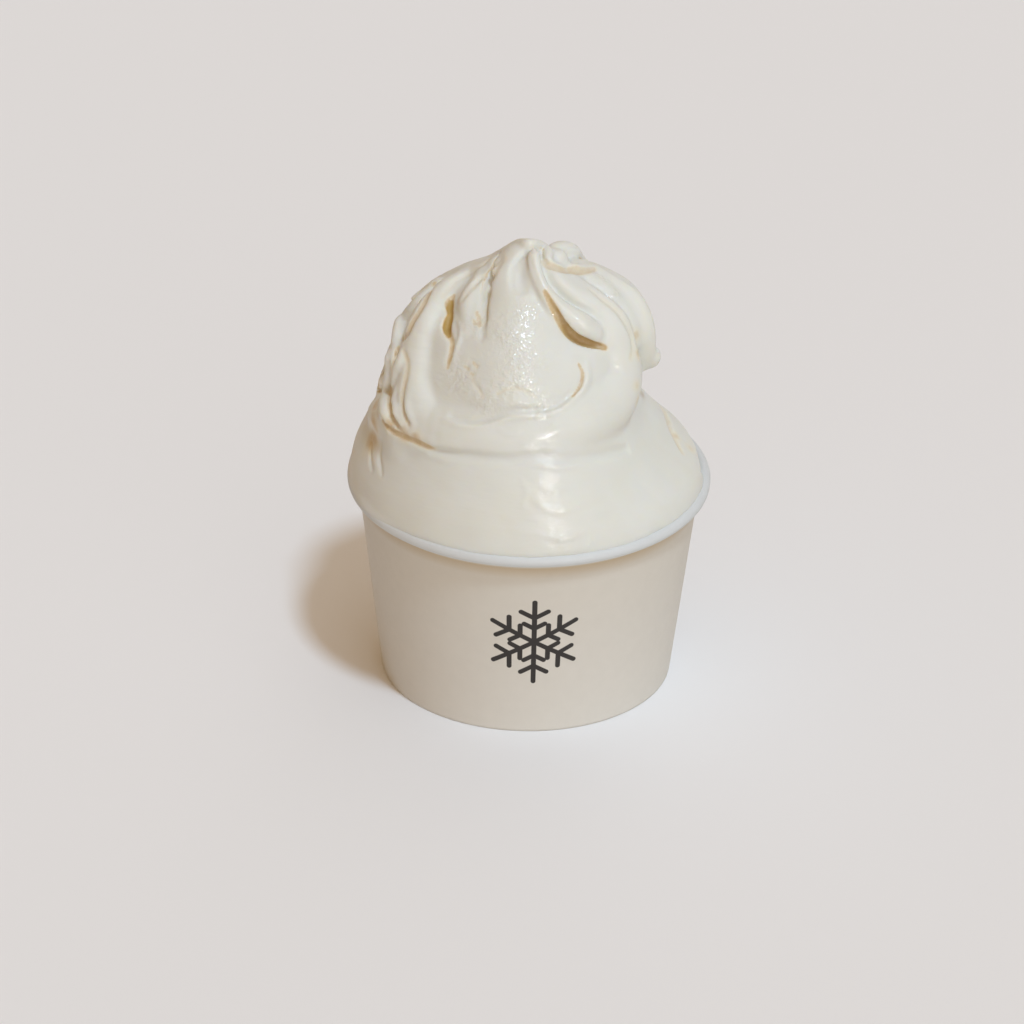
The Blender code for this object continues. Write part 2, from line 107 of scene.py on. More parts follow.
# A fold: the side it is seen from, how softly it melts into what lies under it, and its points as
# (across, up) from the middle of the rim, the lift off the mound and the radius
FOLDS = {
    "scooped face": (FRONT, 3, (
        (-3.2, 18.7, -11, 12.8), (-2.3, 26.4, -11, 12.6), (-2.3, 34.1, -8.6, 10), (-2.9, 40.7, -6, 7.2),
        (-2.3, 45.8, -3.5, 4.2))),
    "low roll behind": (BACK, 2, (
        (24, 11, -7, 8), (12, 7, -8, 9.2), (0, 5.5, -8.2, 9.6), (-10, 8, -7.6, 8.8), (-16, 14, -6, 6.8),
        (-18, 20, -4.2, 4.8))),
    "back petal, left": (BACK, 1, (
        (24, 16, -5.2, 6.4), (20, 24, -4.8, 6), (14, 32, -3.8, 5), (8, 39, -2.6, 3.6), (2, 45, -1.2, 2.2))),
    "back petal, middle": (BACK, 1, (
        (10, 12, -6.6, 8), (6, 21, -5.6, 7), (1, 30, -4.4, 5.8), (-3, 38, -3, 4.2), (-5, 44, -1.6, 2.8))),
    "back petal, right": (BACK, 1, (
        (-6, 14, -6, 7.2), (-11, 21, -5.2, 6.4), (-13, 29, -4.2, 5.4), (-12, 37, -2.8, 3.8),
        (-9, 43, -1.6, 2.6))),
    "right flank": (RIGHT, 1, (
        (0, 12, -6, 6.8), (4, 19, -5.2, 6), (8, 26, -4.2, 5.2), (10, 34, -3, 4.2), (8, 41, -2, 3))),
    "left flank": (LEFT, 1, (
        (-20, 14, -5.6, 6.8), (-15, 22, -4.8, 6), (-10, 30, -3.8, 5), (-5, 38, -2.8, 3.8),
        (-2, 44, -1.6, 2.4))),
    "band round the left": (LEFT, 1.4, (
        (14, 1, -6, 7.2), (5, 2.2, -6.4, 7.4), (-5, 4.6, -6.2, 7), (-15, 8.8, -5.6, 6.2),
        (-23, 14, -4.6, 5))),
    "wrapping band": (FRONT, 1, (
        (-31.4, 12.2, -6.6, 4.4), (-28, 11.6, -5.8, 6.2), (-22.5, 10.2, -7.2, 8.2), (-12.9, 8, -8.2, 9.3),
        (-1.8, 8.2, -8.4, 9.5), (8.1, 10.8, -8, 9.2), (15, 15.2, -7.5, 8.2), (18.2, 20.6, -6.2, 6.8),
        (18.6, 26.4, -4.2, 5.3), (17.2, 31.9, -2.4, 4.8), (13.2, 36.5, -1.8, 4), (8.6, 40.6, -1.5, 3.1),
        (5.4, 43.8, -1.2, 2.1))),
    "broad left ridge": (FRONT, 1, (
        (-22.1, 12.7, -5.2, 6.8), (-23.4, 18.7, -4.7, 6.2), (-23, 26.4, -4, 5.5), (-21.5, 33, -3.3, 4.6),
        (-18.6, 37.9, -2.7, 3.7), (-14.2, 41.8, -2.1, 2.6), (-9.1, 45.1, -1.4, 1.7),
        (-5.1, 48.2, -0.8, 1.1))),
    "outer left ridge": (FRONT, 0.6, (
        (-31.2, 17.1, -1.5, 1.8), (-29.6, 22.4, -1.5, 2.1), (-28.1, 27.9, -1.4, 2.3),
        (-26.8, 32.6, -1.2, 2.1), (-24.1, 36.5, -1.2, 2), (-19.9, 40.1, -1.2, 1.8),
        (-14.9, 42.5, -1.1, 1.4), (-9.8, 45.4, -0.8, 1))),
    "inner left ridge": (FRONT, 0.8, (
        (-13.3, 29.8, -1.8, 2.2), (-12.9, 36.3, -1.6, 2.8), (-11.1, 40.5, -1.2, 2.4),
        (-8.5, 44.7, -0.8, 1.7), (-5.8, 47.4, -0.4, 1.2), (-3.4, 49.2, -0.3, 1))),
    "small fold, left": (FRONT, 1, (
        (-28.9, 25.9, -1.2, 1.2), (-28.6, 22.4, -0.9, 1.9), (-29, 18.7, -0.9, 1.6),
        (-29.4, 14.9, -0.9, 1.7), (-28.8, 10.5, -1.2, 1.6))),
    "small fold, far left": (FRONT, 1, (
        (-31, 20.2, -0.8, 1.2), (-31.8, 17.1, -0.8, 1.6), (-32, 14, -0.8, 1.7), (-31.2, 11.4, -1, 1.4))),
    "dollop": (FRONT, 0.5, (
        (5.5, 48.2, -2.4, 1.9), (7.2, 48.3, -2.8, 2.3), (9, 47.9, -3, 2.3), (10.8, 46.5, -3.2, 1.6),
        (12.7, 44.9, -3.4, 1.2))),
    "inner right layer": (FRONT, 0.8, (
        (12.9, 41.2, -1.8, 2.6), (16.9, 38.5, -1.3, 2.8), (20.1, 35.4, -0.9, 2.6), (22, 31.8, -0.9, 2.3),
        (22.6, 28, -1.2, 1.9))),
    "right drape": (RIGHT, 1, (
        (4, 36.5, -1.4, 3.2), (5.6, 30, -1, 4.2), (5.8, 24, -0.6, 4.6), (4.4, 18.5, 0, 4),
        (2.8, 14, 1, 2.8))),
    "outer right layer": (RIGHT, 1.4, (
        (3, 35, 1.4, 1.5), (2, 31.1, 2.2, 1.8), (0.6, 26.9, 2.8, 2), (-0.6, 22.9, 2.9, 2.1),
        (-1.2, 18.8, 3.1, 2.1), (-1, 15.2, 3.5, 2), (-0.4, 13, 3.9, 1.9), (0.6, 11.6, 4.8, 2))),
    "inside the right layer": (RIGHT, 1.4, (
        (0.4, 26.9, 0.6, 2), (-0.6, 22.9, 0.8, 2.1), (-1.2, 18.8, 1, 2.2), (-1, 15.2, 1.4, 2.2),
        (-0.4, 12.4, 1.8, 2))),
    "drip": (RIGHT, 0.8, ((0.6, 12.8, 1.9, 1.7), (0.6, 12.4, 5.2, 1.9))),
    "beside the finger": (FRONT, 1.6, (
        (4.3, 44.9, 0.4, 1.3), (5.7, 42.5, 0.7, 1.7), (7.7, 40.1, 0.9, 1.9), (10.3, 38.1, 0.9, 2.1),
        (13.4, 36.3, 0.5, 2.2))),
    "hook of the peak": (FRONT, 0.5, (
        (-5.6, 42.7, -1.4, 2.2), (-4.9, 45.6, -0.7, 2.1), (-3.8, 47.7, -0.1, 2), (-2.1, 49.2, 0.3, 1.8),
        (-0.3, 49.7, 0.5, 1.45), (1.5, 49.8, 0.7, 1.25), (3, 49.1, 0.9, 1.3), (4.1, 47.9, 1, 1.25),
        (4, 46.2, 0.8, 1.05))),
    "finger": (FRONT, 0.9, (
        (1.1, 47.4, 1.9, 1.45), (1.1, 45.6, 1.9, 1.45), (1.6, 43.4, 1.7, 1.45), (2.5, 40.9, 1.5, 1.55),
        (3.9, 38.5, 1.3, 1.9), (5.9, 36.1, 1.1, 2.3), (8.3, 33.9, 0.8, 2.7), (11.4, 31.9, 0.4, 2.9),
        (13.8, 30.4, -0.4, 2.5))),
}
GROOVES = {
    "beside the inner ridge": (FRONT, 1.4, (
        (-10.4, 29.5, 1.4, 0.4), (-10, 36.1, 1, 1), (-8.7, 40.9, 1, 1.6), (-7, 44.7, 1.1, 1.3),
        (-4.9, 47.3, 1.3, 0.6))),
}

# Low streaks on the skirt of the heap, whose points are as those of the folds
SKIRT_MELT = 0.4
SKIRT_STREAKS = (
    ((-0.1, 1.4, -0.75, 0.9), (3.7, 1, -0.7, 1), (7, 0.6, -0.7, 1), (10.8, 1.4, -0.75, 0.9)),
    ((1.5, 2.8, -0.8, 0.9), (5.2, 2.3, -0.7, 1), (9.6, 2.8, -0.8, 0.9)),
    ((2.6, -3.6, -0.8, 0.9), (4.8, -4.5, -0.72, 0.95), (7.7, -4, -0.8, 0.9)),
    ((0.8, -6.5, -0.8, 0.9), (3.7, -8.5, -0.72, 0.95), (7, -9.3, -0.7, 0.95), (11, -7.8, -0.8, 0.9)),
    ((1.7, -13.8, -0.85, 0.95), (5, -14.9, -0.75, 1), (8.8, -14.7, -0.75, 1), (11.9, -13.5, -0.85, 0.95)),
    ((-1.6, -2.3, -0.8, 0.9), (-0.5, -4.7, -0.72, 0.95), (-1.2, -7.6, -0.8, 0.9)),
    ((12.3, -12.9, -0.8, 0.9), (13.4, -14.9, -0.75, 0.9), (13, -16.7, -0.8, 0.9)),
    ((-6.2, 8.7, -0.8, 0.9), (-4.5, 7.9, -0.75, 0.9), (-2.5, 8.5, -0.8, 0.9)),
)

# Finer folds and grooves, laid in the same way on the heap with its folds
FINE_FOLDS = {
    "lip of the band": (FRONT, 0.4, (
        (-18.6, 10.9, -0.5, 0.7), (-15.1, 9.8, -0.4, 1), (-10.2, 9.7, -0.4, 1), (-6.9, 10.7, -0.4, 1),
        (-4, 11.7, -0.35, 1.1), (-0.7, 12, -0.35, 1.1), (2.8, 12.1, -0.4, 1), (5.5, 12.7, -0.4, 1),
        (7.9, 14, -0.3, 1), (10.1, 16, -0.3, 1), (11.9, 18.2, -0.3, 1.1), (12.5, 20.6, -0.4, 1.1),
        (12.5, 23.3, -0.7, 0.9))),
    "lump low on the face": (FRONT, 0.4, (
        (-8.5, 14, -1.9, 2), (-5.1, 15.1, -2.1, 2.5), (-1.2, 14.9, -2.1, 2.5), (2.6, 13.8, -1.9, 1.9))),
    "small ridge, left 1": (FRONT, 0.8, (
        (-30.8, 20.2, -0.9, 0.9), (-31.4, 17.8, -0.7, 1), (-32, 15.3, -0.6, 1.1), (-31.9, 12.7, -0.6, 1.2),
        (-30.8, 9.6, -0.8, 1))),
    "small ridge, left 2": (FRONT, 0.6, (
        (-29, 18, -0.8, 0.8), (-29.4, 15.3, -0.6, 1.1), (-29.2, 12.7, -0.6, 1.2), (-28.1, 10, -0.8, 1))),
    "small ridge, left 3": (FRONT, 0.6, (
        (-25.9, 17.1, -1, 0.8), (-26.6, 14.9, -0.8, 1.1), (-26.3, 12.7, -0.8, 1.2), (-25, 9.8, -1, 1))),
    "bright oval": (FRONT, 0.4, (
        (-27.7, 25.9, -0.9, 1), (-28.3, 23.7, -0.5, 1.3), (-29.2, 21.5, -0.5, 1.3),
        (-29.6, 18.9, -0.8, 1))),
    "strand over the hole": (FRONT, 0.4, (
        (-16.2, 33.9, 0, 0.3), (-15.3, 31.7, 0.3, 0.35), (-15.3, 29.2, 0.3, 0.4), (-16.2, 26.8, 0.1, 0.35),
        (-16.8, 24.2, 0, 0.3))),
    "strand in the hole": (FRONT, 0.4, (
        (-17.9, 37.4, 0, 0.3), (-17.5, 34.8, -0.2, 0.35), (-18.2, 32.6, 0, 0.3))),
    **{f"streak on the skirt {number}": (FRONT, SKIRT_MELT, points)
       for number, points in enumerate(SKIRT_STREAKS, 1)},
    "flake, left 1": (LEFT, 0.9, ((-8, 27, -0.3, 0.9), (-8, 23.6, 0.8, 0.9), (-8.2, 20.6, 1.7, 0.8))),
    "flake, left 2": (FRONT, 0.4, (
        (-28.3, 33.7, -0.3, 0.8), (-28.9, 32.6, -0.2, 1), (-29.2, 30.4, -0.3, 1.1),
        (-29.6, 28.1, -0.5, 0.9))),
    "flake, left 3": (FRONT, 0.6, (
        (-30.8, 25.9, -0.4, 0.6), (-31.2, 24.4, -0.3, 0.8), (-31.3, 22.6, -0.5, 0.6))),
    "flake, left 4": (FRONT, 0.6, (
        (-32.1, 21.1, -0.4, 0.6), (-32.6, 19.3, -0.3, 0.8), (-32.6, 17.3, -0.5, 0.6))),
}
FINE_GROOVES = {
    "over the lip": (FRONT, 0.6, (
        (-17.3, 12, 0.5, 0.5), (-14, 11, 0.4, 0.6), (-10.2, 10.9, 0.4, 0.6), (-6.9, 11.9, 0.4, 0.6),
        (-3.6, 13, 0.45, 0.6), (-0.3, 13.2, 0.45, 0.6), (2.8, 13.4, 0.45, 0.6), (5.2, 13.9, 0.45, 0.6),
        (7.4, 15.1, 0.4, 0.55), (9.2, 16.9, 0.35, 0.5))),
    "soft crease of the skirt": (FRONT, 0.8, (
        (-21.7, 3.9, 0.75, 1.1), (-12.9, 2.8, 0.8, 1.2), (-5.1, 2.2, 0.8, 1.2), (2.6, 2.9, 0.9, 1.2),
        (9.2, 2.3, 0.85, 1.2), (15.8, 3.2, 0.9, 1.2), (22, 4.7, 1, 1.1))),
    "crack over the lump": (FRONT, 0.3, (
        (-6.9, 16.9, 0.15, 0.25), (-5.4, 17.7, 0.12, 0.3), (-3.6, 18, 0.12, 0.33), (-1.6, 17.7, 0.12, 0.33),
        (0.2, 16.9, 0.12, 0.3), (1.5, 16, 0.15, 0.25))),
    "small crease": (FRONT, 0.3, (
        (-12.6, 20.6, 0.2, 0.3), (-12, 18.9, 0.12, 0.35), (-10.9, 17.5, 0.12, 0.35),
        (-10.2, 16, 0.2, 0.3))),
    "pit 1": (FRONT, 0.3, ((-14.1, 22.8, 0.15, 0.3), (-13.5, 22.2, 0.15, 0.3))),
    "pit 2": (FRONT, 0.3, ((-12.3, 23.6, 0.15, 0.3), (-11.5, 22.8, 0.15, 0.3))),
    "pit 3": (FRONT, 0.3, ((-12.9, 21.3, 0.15, 0.3), (-12.4, 21.1, 0.15, 0.3))),
    "pit 4": (FRONT, 0.3, ((-11.5, 34.8, 0.15, 0.3), (-11.1, 33.4, 0.1, 0.4), (-10.9, 31.9, 0.15, 0.35))),
    "pit 5": (FRONT, 0.3, ((-12.2, 33, 0.15, 0.3), (-12, 32.3, 0.15, 0.3))),
    "beside the finger": (FRONT, 0.6, (
        (0.2, 47.1, 0.6, 0.5), (0.6, 44.9, 0.4, 0.6), (1.7, 42.3, 0.4, 0.6), (2.9, 39.8, 0.6, 0.5))),
    "valley by the finger": (FRONT, 1, (
        (-2.1, 45.6, 0.8, 1.2), (-2.1, 43.4, 0.7, 1.4), (-1.4, 40.5, 1, 1.4))),
    "pit on the face": (FRONT, 0.3, ((-2.4, 41.5, 0.15, 0.3), (-2.2, 40.3, 0.15, 0.35))),
    "crease of the shoulder": (FRONT, 0.5, (
        (13.4, 40.1, 0.4, 0.4), (15.8, 38.1, 0.3, 0.6), (18.5, 36.1, 0.25, 0.7), (20.2, 34.5, 0.25, 0.8),
        (21.8, 32.1, 0.25, 0.8), (22.9, 29.5, 0.3, 0.8), (23.3, 26.8, 0.4, 0.7), (22.7, 24.6, 0.5, 0.5))),
    "end of the lip": (FRONT, 0.25, (
        (9.6, 16.2, 0.15, 0.22), (11, 18, 0.08, 0.28), (11.7, 20, 0.05, 0.3), (11.7, 21.7, 0.08, 0.28),
        (11, 23.3, 0.12, 0.22))),
    "under the dollop": (FRONT, 0.7, (
        (3, 46.2, 0, 0.5), (4.6, 45.3, -0.1, 0.9), (7, 44.5, 0, 1.1), (9.6, 44.2, 0, 1.1),
        (12.1, 44.3, 0.1, 0.95), (14.1, 44.5, 0.3, 0.6))),
    "crease over the rim": (FRONT, 0.8, (
        (-32.3, 10.9, 0.3, 0.4), (-30.3, 8.7, 0.1, 0.5), (-27.9, 7.4, 0, 0.6), (-25.5, 6.4, 0, 0.6),
        (-23, 5.2, 0, 0.55), (-20.8, 4.2, 0.2, 0.4), (-19.3, 3.6, 0.3, 0.3))),
    "fold line on the peak": (FRONT, 0.4, (
        (-3.4, 39.6, 0.4, 0.5), (-3.7, 42.5, 0.1, 0.65), (-3.4, 44.7, 0, 0.7), (-2.3, 46.5, 0, 0.65),
        (-0.9, 47.8, 0.05, 0.5), (0.4, 48.5, 0.1, 0.4), (1.8, 48.6, 0.1, 0.35), (2.7, 47.9, 0.1, 0.35),
        (2.9, 46.5, 0.15, 0.35))),
    "left groove 1": (FRONT, 0.4, (
        (-8.9, 46.7, 0.25, 0.4), (-10.9, 44.9, 0.15, 0.5), (-13.3, 43.4, 0.15, 0.5), (-16, 41.8, 0.15, 0.5),
        (-17.9, 39.8, 0.2, 0.45), (-19.1, 38.3, 0.3, 0.35))),
    "left groove 2": (FRONT, 0.4, (
        (-6.2, 47.1, 0.25, 0.4), (-8, 44.9, 0.15, 0.5), (-10.2, 42.7, 0.15, 0.5), (-12.9, 40.1, 0.15, 0.5),
        (-14.9, 37.4, 0.25, 0.4))),
    "outer groove": (FRONT, 0.5, (
        (-21, 41.2, 0.3, 0.4), (-22.4, 38.7, 0.15, 0.55), (-23.9, 35.7, 0.1, 0.6), (-25.7, 32.8, 0.05, 0.7),
        (-27.3, 29.7, 0, 0.75), (-28.7, 26.4, 0, 0.75), (-29.9, 22.6, 0.1, 0.65), (-30.5, 19.8, 0.25, 0.55),
        (-30.8, 17.5, 0.3, 0.55), (-30.6, 14.9, 0.1, 0.75), (-30.1, 11.4, 0.05, 0.8),
        (-28.5, 8.9, 0.3, 0.5))),
    "beside the bright oval": (FRONT, 0.4, (
        (-27.7, 26.4, 0.3, 0.3), (-26.8, 24, 0.2, 0.4), (-27.1, 21.1, 0.15, 0.5), (-27.8, 18, 0.1, 0.55),
        (-28, 15.1, 0.05, 0.6), (-27.7, 12.5, 0.1, 0.6), (-26.6, 10, 0.25, 0.45))),
    "crease, far right": (FRONT, 0.5, (
        (29.3, 14, 0.2, 0.5), (30.4, 12, 0.05, 0.7), (31.3, 9.2, 0, 0.7), (32.6, 6.3, 0.1, 0.6),
        (33.9, 3.9, 0.3, 0.4))),
    "under the lobe": (FRONT, 0.6, (
        (3.5, 39.4, 0.15, 0.25), (4.6, 37.2, -0.05, 0.45), (6.1, 34.5, -0.3, 0.75), (8, 31.7, -0.55, 1.05),
        (10.1, 29.5, -0.8, 1.25), (12.7, 28.1, -0.9, 1), (15.2, 27.4, -0.7, 0.7), (16.7, 27, -0.1, 0.4))),
    "hole on the left": (FRONT, 0.6, (
        (-16.6, 38.7, 0.5, 0.3), (-17.2, 37.6, 0.15, 0.7), (-17.5, 36.5, -0.1, 0.95), (-17.3, 35, 0, 0.6),
        (-17.6, 33.4, -0.2, 0.8), (-18.1, 31.7, -0.4, 1), (-17.7, 30.1, 0, 0.6), (-17, 28.1, 0.1, 0.45),
        (-17.3, 25.7, 0.2, 0.45), (-18.1, 22.6, 0.35, 0.3))),
    "bottom of the hole": (FRONT, 0.4, (
        (-17.3, 37.2, -0.4, 0.3), (-17.5, 35.9, -0.7, 0.5), (-17.4, 34.3, -0.6, 0.35),
        (-17.8, 32.8, -1.1, 0.6), (-18.1, 31.2, -1.1, 0.6), (-17.7, 29.7, -0.2, 0.3))),
    "valley of the shoulder": (FRONT, 0.8, (
        (-6.2, 46.2, 0.45, 0.4), (-7.2, 44.9, 0.4, 0.55), (-8.1, 42.9, 0.4, 0.65), (-8.8, 39.6, 0.4, 0.65),
        (-9.2, 36.3, 0.4, 0.55), (-9.6, 33, 0.4, 0.4))),
    "notch, far left": (FRONT, 0.4, ((-33.4, 18.2, 0.3, 0.4), (-32.6, 17.3, 0.2, 0.45))),
    "crease, far left 1": (FRONT, 0.4, (
        (-34.5, 6.5, 0.3, 0.4), (-35.2, 3.2, 0.2, 0.6), (-34.7, -0.1, 0.3, 0.4))),
    "crease, far left 2": (FRONT, 0.4, (
        (-32.5, 6.5, 0.3, 0.4), (-33.2, 3.2, 0.2, 0.6), (-32.5, -1, 0.3, 0.4))),
}

# Where the gelato stays inside the bead at the back right, as (turn in degrees, radius, height, width)
INSIDE_RIM_MELT = 1.5
INSIDE_RIM = (
    (-6, 39.6, 49.6, 0.5), (6, 38.6, 49.2, 2), (18, 37.6, 48.8, 3.2), (30, 36.9, 48.8, 3.5),
    (42, 37.1, 49.2, 3), (54, 38, 49.4, 1.8), (66, 39.2, 49.6, 0.6),
)
# Gelato that has run over the bead at the left, as (turn in degrees, radius, height, thickness)
OVER_RIM_MELT = 1.2
OVER_RIM = (
    (140, 37.4, 47.2, 0.6), (152, 37.8, 47.3, 1.2), (165, 38, 47.2, 1.6), (178, 38.1, 47, 1.7),
    (190, 38, 46.9, 1.7), (202, 38.1, 46.8, 1.8), (212, 38.2, 46.8, 1.6), (221, 38.1, 47, 1.2),
    (230, 37.7, 47.3, 0.6),
)

# Grid on which the surface is found: its step, how many steps a coarse block has, how near the surface
# a block is looked at finely, the sheet's lowest and highest points, and how much wider than the rim it is
VOXEL = 0.45
BLOCK = 3
BLOCK_REACH = 1.4
SHEET_BOTTOM = 44.6
SHEET_TOP = 107.0
SHEET_MARGIN = 6.0
# How far the gelato sinks into the bead, and how the sheet is smoothed
BEAD_SINK = 0.7
SMOOTHING_ROUNDS = 2
SMOOTHING_FACTOR = 0.5

# Waves that make the surface uneven, as (size, how far they go)
RIPPLES = ((9.0, 0.04), (4.0, 0.012))
FROTH_RIPPLES = ((2.2, 0.04), (1.3, 0.04))
RIPPLE_SEED = 50
FROTH_SEED = 60
WAVE_COUNT = 9
WAVE_RANGE = (0.7, 1.4)
# Where the gelato is frothy, as (across, up) seen from the front, and how wide
FROTH = (
    (-4.5, 28.5, 7), (-3, 20, 7.5), (-15, 20.5, 5.5), (-10.5, 32, 4), (3, 14, 4.5),
    (-9, 14.5, 5), (-0.8, 33.4, 5), (-2, 24, 7), (15.8, 42, 3.4),
    (18.2, 38.4, 2.6),
)
# Where the gelato is wet, in the same way
WET = (
    (0, 4.3, 4), (5.9, 1, 5), (5.2, -5, 7), (7, -14.5, 6), (3.7, -9.4, 5),
    (12.5, 17.5, 3), (2.8, 42.7, 2.5), (12.7, 32.8, 2.5), (18.5, 38.3, 3), (-25.5, 28.6, 5),
    (-24.3, 10.9, 4), (-4.4, 8.3, 3), (15.8, -8.9, 3), (10.3, 24.2, 2),
)
# Fine grooves along which golden shade is painted, as (how yellow the painted shade makes them, how far it
# reaches beside them)
GROOVE_SHADE = {
    "left groove 1": (0.2, 0.5), "left groove 2": (0.18, 0.6), "outer groove": (0.42, 0.4),
    "beside the bright oval": (0.32, 0.4), "crease over the rim": (0.56, 0.45),
    "crease, far right": (0.3, 0.7), "end of the lip": (0.5, 0.25), "under the lobe": (0.66, 0.5),
    "under the dollop": (0.38, 0.6), "crease of the shoulder": (0.2, 0.6),
    "crack over the lump": (0.24, 0.3), "small crease": (0.24, 0.3), "pit 1": (0.34, 0.3),
    "pit 2": (0.34, 0.3), "pit 3": (0.34, 0.3), "pit 4": (0.4, 0.35), "pit 5": (0.4, 0.3),
    "pit on the face": (0.46, 0.25), "hole on the left": (0.5, 0.35), "bottom of the hole": (0.92, 0.6),
    "valley of the shoulder": (0.22, 1.3),
}
# Patches of painted warm shade, as (across, up, how wide, how yellow)
SHADE_PATCHES = (
    (-34.5, 6.5, 5, 0.52), (-34.3, 10.5, 4.2, 0.5), (-33.8, 14.5, 3.4, 0.48), (-33, 18, 2.6, 0.44),
    (-30.5, 10, 3.4, 0.48), (-27.8, 7.8, 3.2, 0.5), (-25.2, 7, 2.6, 0.48), (23.6, 18.6, 2, 0.34),
    (24, 15.3, 2.2, 0.34), (23.4, 29.6, 2.4, 0.4), (24, 25.6, 2.2, 0.4), (32.4, 7.6, 2.4, 0.38),
    (35.6, 4.8, 2.2, 0.34), (-27.2, 37.6, 1.2, 0.5),
)
# Places where the crevices get no painted shade and stay white, as (across, up, how wide)
UNSHADED_PLACES = (
    (1.3, 47.6, 4), (4, 46, 2), (-2, 43, 4), (6, 42.6, 3.2), (8.3, 39.6, 3.2),
    (11.3, 37, 3.6), (14, 34.2, 3.2), (4.4, 50, 2), (11.4, 46.6, 2), (16.5, 39, 3.4),
    (20.7, 34.1, 3.6), (23.3, 29.7, 3.2), (-26.2, 38.2, 2.2),
)
UNSHADED_GAIN = 2
# How fast a patch or a painted shade line fades from its middle
PATCH_FADE = 1.5
# A crevice is found by looking this far out from the surface. The rest turns what is seen into 0 to 1
CREVICE_STEPS = (1.2, 2.6)
CREVICE_LIMIT = 2
CREVICE_GAIN = 1.4
CREVICE_LOSS = 0.4

# Gelato: its cream colour in the open, turning to painted golden shade deep in a crevice, and how it takes
# and reflects light
CREAM_AND_CREVICE_SHADE = ((0.05, (0.68, 0.687, 0.642)), (0.25, (0.70, 0.68, 0.59)), (0.48, (0.61, 0.50, 0.335)),
         (0.75, (0.46, 0.31, 0.10)))
CLOUD_COLOR = (0.99, 0.98, 0.95)
TONE_SHARE = 0.12
SUBSURFACE_WEIGHT = 0.35
SUBSURFACE_RADIUS = (1.0, 0.72, 0.36)
SUBSURFACE_DEPTH = 3.0
COAT_ON_FROTH = 0.8
LEAST_COAT = 0.03
COAT_ROUGHNESS = 0.07
FLAT_SCALE = (0.25, 0.25, 1)
BUBBLE_SIZE = 0.7

# Paper: its colours, how mottled it is, and a faint painted shade by height, darker towards the top, with a
# painted shadow line where the bead casts one
PAPER_COLOR = (0.66, 0.632, 0.572)
WHITE_COLOR = (0.60, 0.62, 0.62)
MOTTLE = (0.965, 1.03)
PAPER_GLOSS = 0.35
FIBRE_SCALE = (1, 1, 0.35)
PAPER_PAINTED_SHADE = ((0.0, (1.0, 1.0, 1.0)), (0.45, (0.96, 0.955, 0.95)), (0.86, (0.94, 0.925, 0.90)),
                (0.915, (0.80, 0.68, 0.52)), (0.925, (1.0, 1.0, 1.0)))

# A printed snowflake: its middle as (round the wall, up), its arm, its branches as (start, length) and
# their turn from the arm, its line and how sharply that ends
FLAKE_WALL_RADIUS = 35.6
FLAKE_MIDDLE = (1.7, 24.3)
FLAKE_ARM = 10.6
FLAKE_BRANCHES = ((3.6, 2.6), (6.4, 3.4))
FLAKE_BRANCH_TURN = 60
FLAKE_LINE = 1.15
FLAKE_EDGE = ((0.46, (1, 1, 1)), (0.54, (0, 0, 0)))
FLAKE_COLOR = (0.030, 0.026, 0.024)

# Noise, as (size of its grains, detail, roughness)
NOISE = {
    "uneven crevice": (2.2, 3, 0.6), "tone": (5, 2, 0.5), "clouds": (14, 3, 0.5), "gelato sheen": (6, 3, 0.5),
    "film": (3, 3, 0.6), "soft": (2.4, 3, 0.5), "grain": (0.9, 3, 0.6), "froth": (2.2, 2, 0.5),
    "lumps": (1.1, 3, 0.7), "waves": (0.8, 3, 0.6), "mottle": (3.0, 4, 0.6), "paper sheen": (1.2, 3, 0.5),
    "fibres": (0.35, 3, 0.65), "board": (4.0, 2, 0.5),
}
# Levels that some noise is turned into, as (position, level)
LEVELS = {
    "uneven crevice": ((0.35, 0.84), (0.6, 1.05)), "clouds": ((0.35, 0), (0.7, 1)),
    "gelato sheen": ((0.3, 0.52), (0.7, 0.66)), "film": ((0.34, 0.3), (0.52, 1.0)),
    "froth": ((0.4, 0.15), (0.6, 1.0)), "paper sheen": ((0.3, 0.5), (0.7, 0.62)),
}
# Bumps, as (how far they go, how strong they are)
BUMPS = {
    "soft": (0.2, 0.5), "grain": (0.04, 0.30), "lumps": (0.35, 0.8), "froth": (0.10, 0.8),
    "waves of the coat": (0.70, 0.8), "froth of the coat": (0.25, 0.8), "fibres": (0.03, 0.25),
    "board": (0.12, 0.2),
}

# Photographer's view
VIEW_ROLL = 0.95
VIEW_DISTANCE = 2200.0
VIEW_TARGET = (-3.6, 0.0, 37.3)
VIEW_REACH = 20000.0
FOCAL_LENGTH = 350.4
SENSOR = 36.0

# A warm sky from left to right, and far lamps as (turn, tilt, colour, strength, spread in degrees)
SKY = ((0.27, (0.34, 0.18, 0.03)), (0.66, (0.92, 0.84, 0.77)), (0.95, (0.22, 0.145, 0.06)))
KEY = (27.0, 62.0, (0.64, 0.81, 1.0), 1.6, 7.0)
PANEL = (22.0, 16.0, (1.0, 0.98, 0.96), 0.62, 15.0)
GLINT = (22.0, 16.0, (1.0, 0.98, 0.96), 0.9, 4.0)

FLOOR_SIZE = 8000.0
FLOOR_COLOR = (0.803, 0.803, 0.805)
FLOOR_ROUGHNESS = 0.9
FLOOR_GLOSS = 0.1


def curve_through(points):
    """Points on a smooth curve through the given ones, by the Catmull-Rom rule."""
    points = np.array(points, float)
    ends = np.vstack((2 * points[0] - points[1], points, 2 * points[-1] - points[-2]))
    along = []
    for a, b, c, d in zip(ends, ends[1:], ends[2:], ends[3:]):
        for t in np.arange(STEPS_BETWEEN_POINTS) / STEPS_BETWEEN_POINTS:
            along.append(0.5 * (2 * b + (c - a) * t + (2 * a - 5 * b + 4 * c - d) * t**2
                                + (3 * b - a - 3 * c + d) * t**3))
    return np.array(along + [points[-1]])


